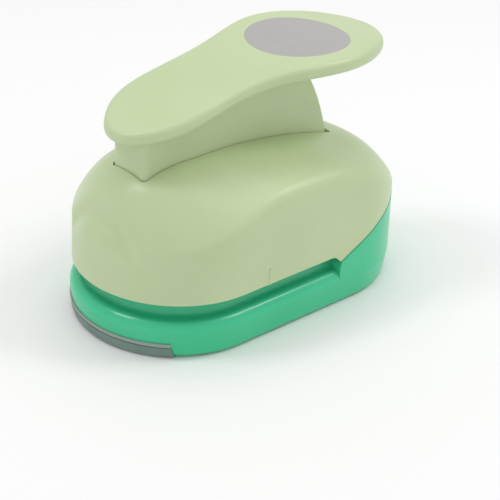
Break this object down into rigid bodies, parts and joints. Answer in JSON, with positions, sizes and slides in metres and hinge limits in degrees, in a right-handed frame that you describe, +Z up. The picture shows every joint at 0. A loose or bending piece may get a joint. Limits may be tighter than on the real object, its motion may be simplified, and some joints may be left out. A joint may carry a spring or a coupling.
{
  "type": "hole punch",
  "caption": "Lever-press paper punch: oblong domed body with an open paper throat round its nose, a deep-necked paddle lever on top and a sprung round punch inside.",
  "frame": {"origin": "centre of the bounding box on the table, under the middle of the body", "axes": "+Z up, +X along the body from the nose to the heel, +Y to the side; the body is symmetric about the XZ plane"},
  "size_m": [0.1845, 0.105, 0.1279],
  "materials": {
    "pale_green_plastic": "satin",
    "teal_plastic": "satin",
    "grey_rubber": "matte",
    "grey_label": "satin",
    "plate_steel": "brushed",
    "tool_steel": "ground",
    "spring_steel": "drawn wire",
    "zinc_screws": "zinc plated"
  },
  "bodies": {
    "housing": {"base_floor": "teal_plastic", "base_housing": "teal_plastic", "bracket_screw_1": "zinc_screws", "bracket_screw_2": "zinc_screws", "cover_screw_1": "zinc_screws", "cover_screw_2": "zinc_screws", "die_plate": "plate_steel", "floor_screw_1": "zinc_screws", "floor_screw_2": "zinc_screws", "floor_screw_3": "zinc_screws", "floor_screw_4": "zinc_screws", "guide_plate": "plate_steel", "guide_post_1": "zinc_screws", "guide_post_2": "zinc_screws", "guide_post_3": "zinc_screws", "guide_post_4": "zinc_screws", "lever_bumper": "grey_rubber", "nose_grip": "grey_rubber", "nose_screw": "zinc_screws", "paper_stop": "plate_steel", "pivot_bracket": "plate_steel", "pivot_clip": "zinc_screws", "pivot_pin": "zinc_screws", "plate_screw_1": "zinc_screws", "plate_screw_2": "zinc_screws", "plate_screw_3": "zinc_screws", "plate_screw_4": "zinc_screws", "rear_foot_1": "grey_rubber", "rear_foot_2": "grey_rubber", "return_spring_1": "spring_steel", "return_spring_2": "spring_steel", "return_spring_3": "spring_steel", "return_spring_4": "spring_steel", "top_cover": "pale_green_plastic"},
    "lever": {"lever_handle": "pale_green_plastic", "label_disc": "grey_label", "press_shoe": "tool_steel", "shoe_pin": "zinc_screws"},
    "punch": {"cutting_punch": "tool_steel", "pressure_yoke": "plate_steel", "yoke_screw_1": "zinc_screws", "yoke_screw_2": "zinc_screws"}
  },
  "joints": [
    {"name": "lever_press", "type": "hinge", "parent": "housing", "child": "lever", "pos_m": [-0.06225, 0, 0.05], "axis": [0, 1, 0], "range_deg": [0, 13], "stiffness_Nm_per_rad": 4, "springref_deg": -6.88},
    {"name": "punch_travel", "type": "slide", "parent": "housing", "child": "punch", "axis": [0, 0, -1], "range_m": [0, 0.009], "deforming": ["return_spring_1", "return_spring_2", "return_spring_3", "return_spring_4"]}
  ],
  "couplings": [
    {"joint": "punch_travel", "follows": "lever_press", "m_per_rad": 0.039}
  ]
}
